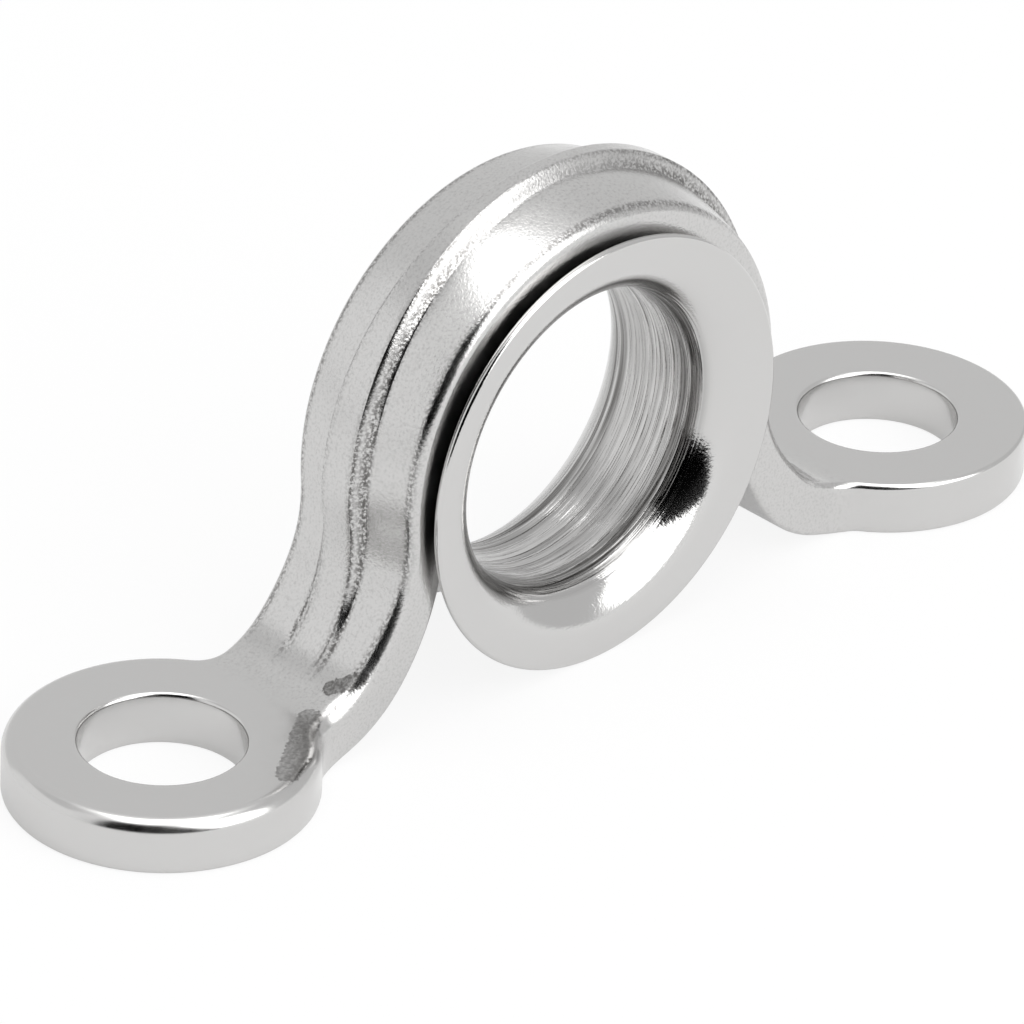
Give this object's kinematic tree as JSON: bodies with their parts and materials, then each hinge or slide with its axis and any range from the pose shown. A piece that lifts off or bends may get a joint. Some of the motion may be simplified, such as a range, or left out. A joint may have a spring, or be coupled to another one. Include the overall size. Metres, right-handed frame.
{
  "type": "eye strap",
  "caption": "Formed deck eye strap with a round screw tab at each end and a ribbed loop round a flared ferrule, which guides a control line or lashing across a deck.",
  "frame": {"origin": "midway between the two screw holes, in the plane of the tabs' undersides, which lie on the deck", "axes": "+X along the strap from hole to hole, +Y along the ferrule's bore, the way the line runs, +Z away from the deck"},
  "size_m": [0.042, 0.01, 0.0167],
  "materials": {
    "strap": "polished, with a fine grain on the bends",
    "ferrule": "polished, with fine turned rings in the bore"
  },
  "bodies": {
    "root": {"strap": "strap", "ferrule": "ferrule"}
  },
  "joints": []
}
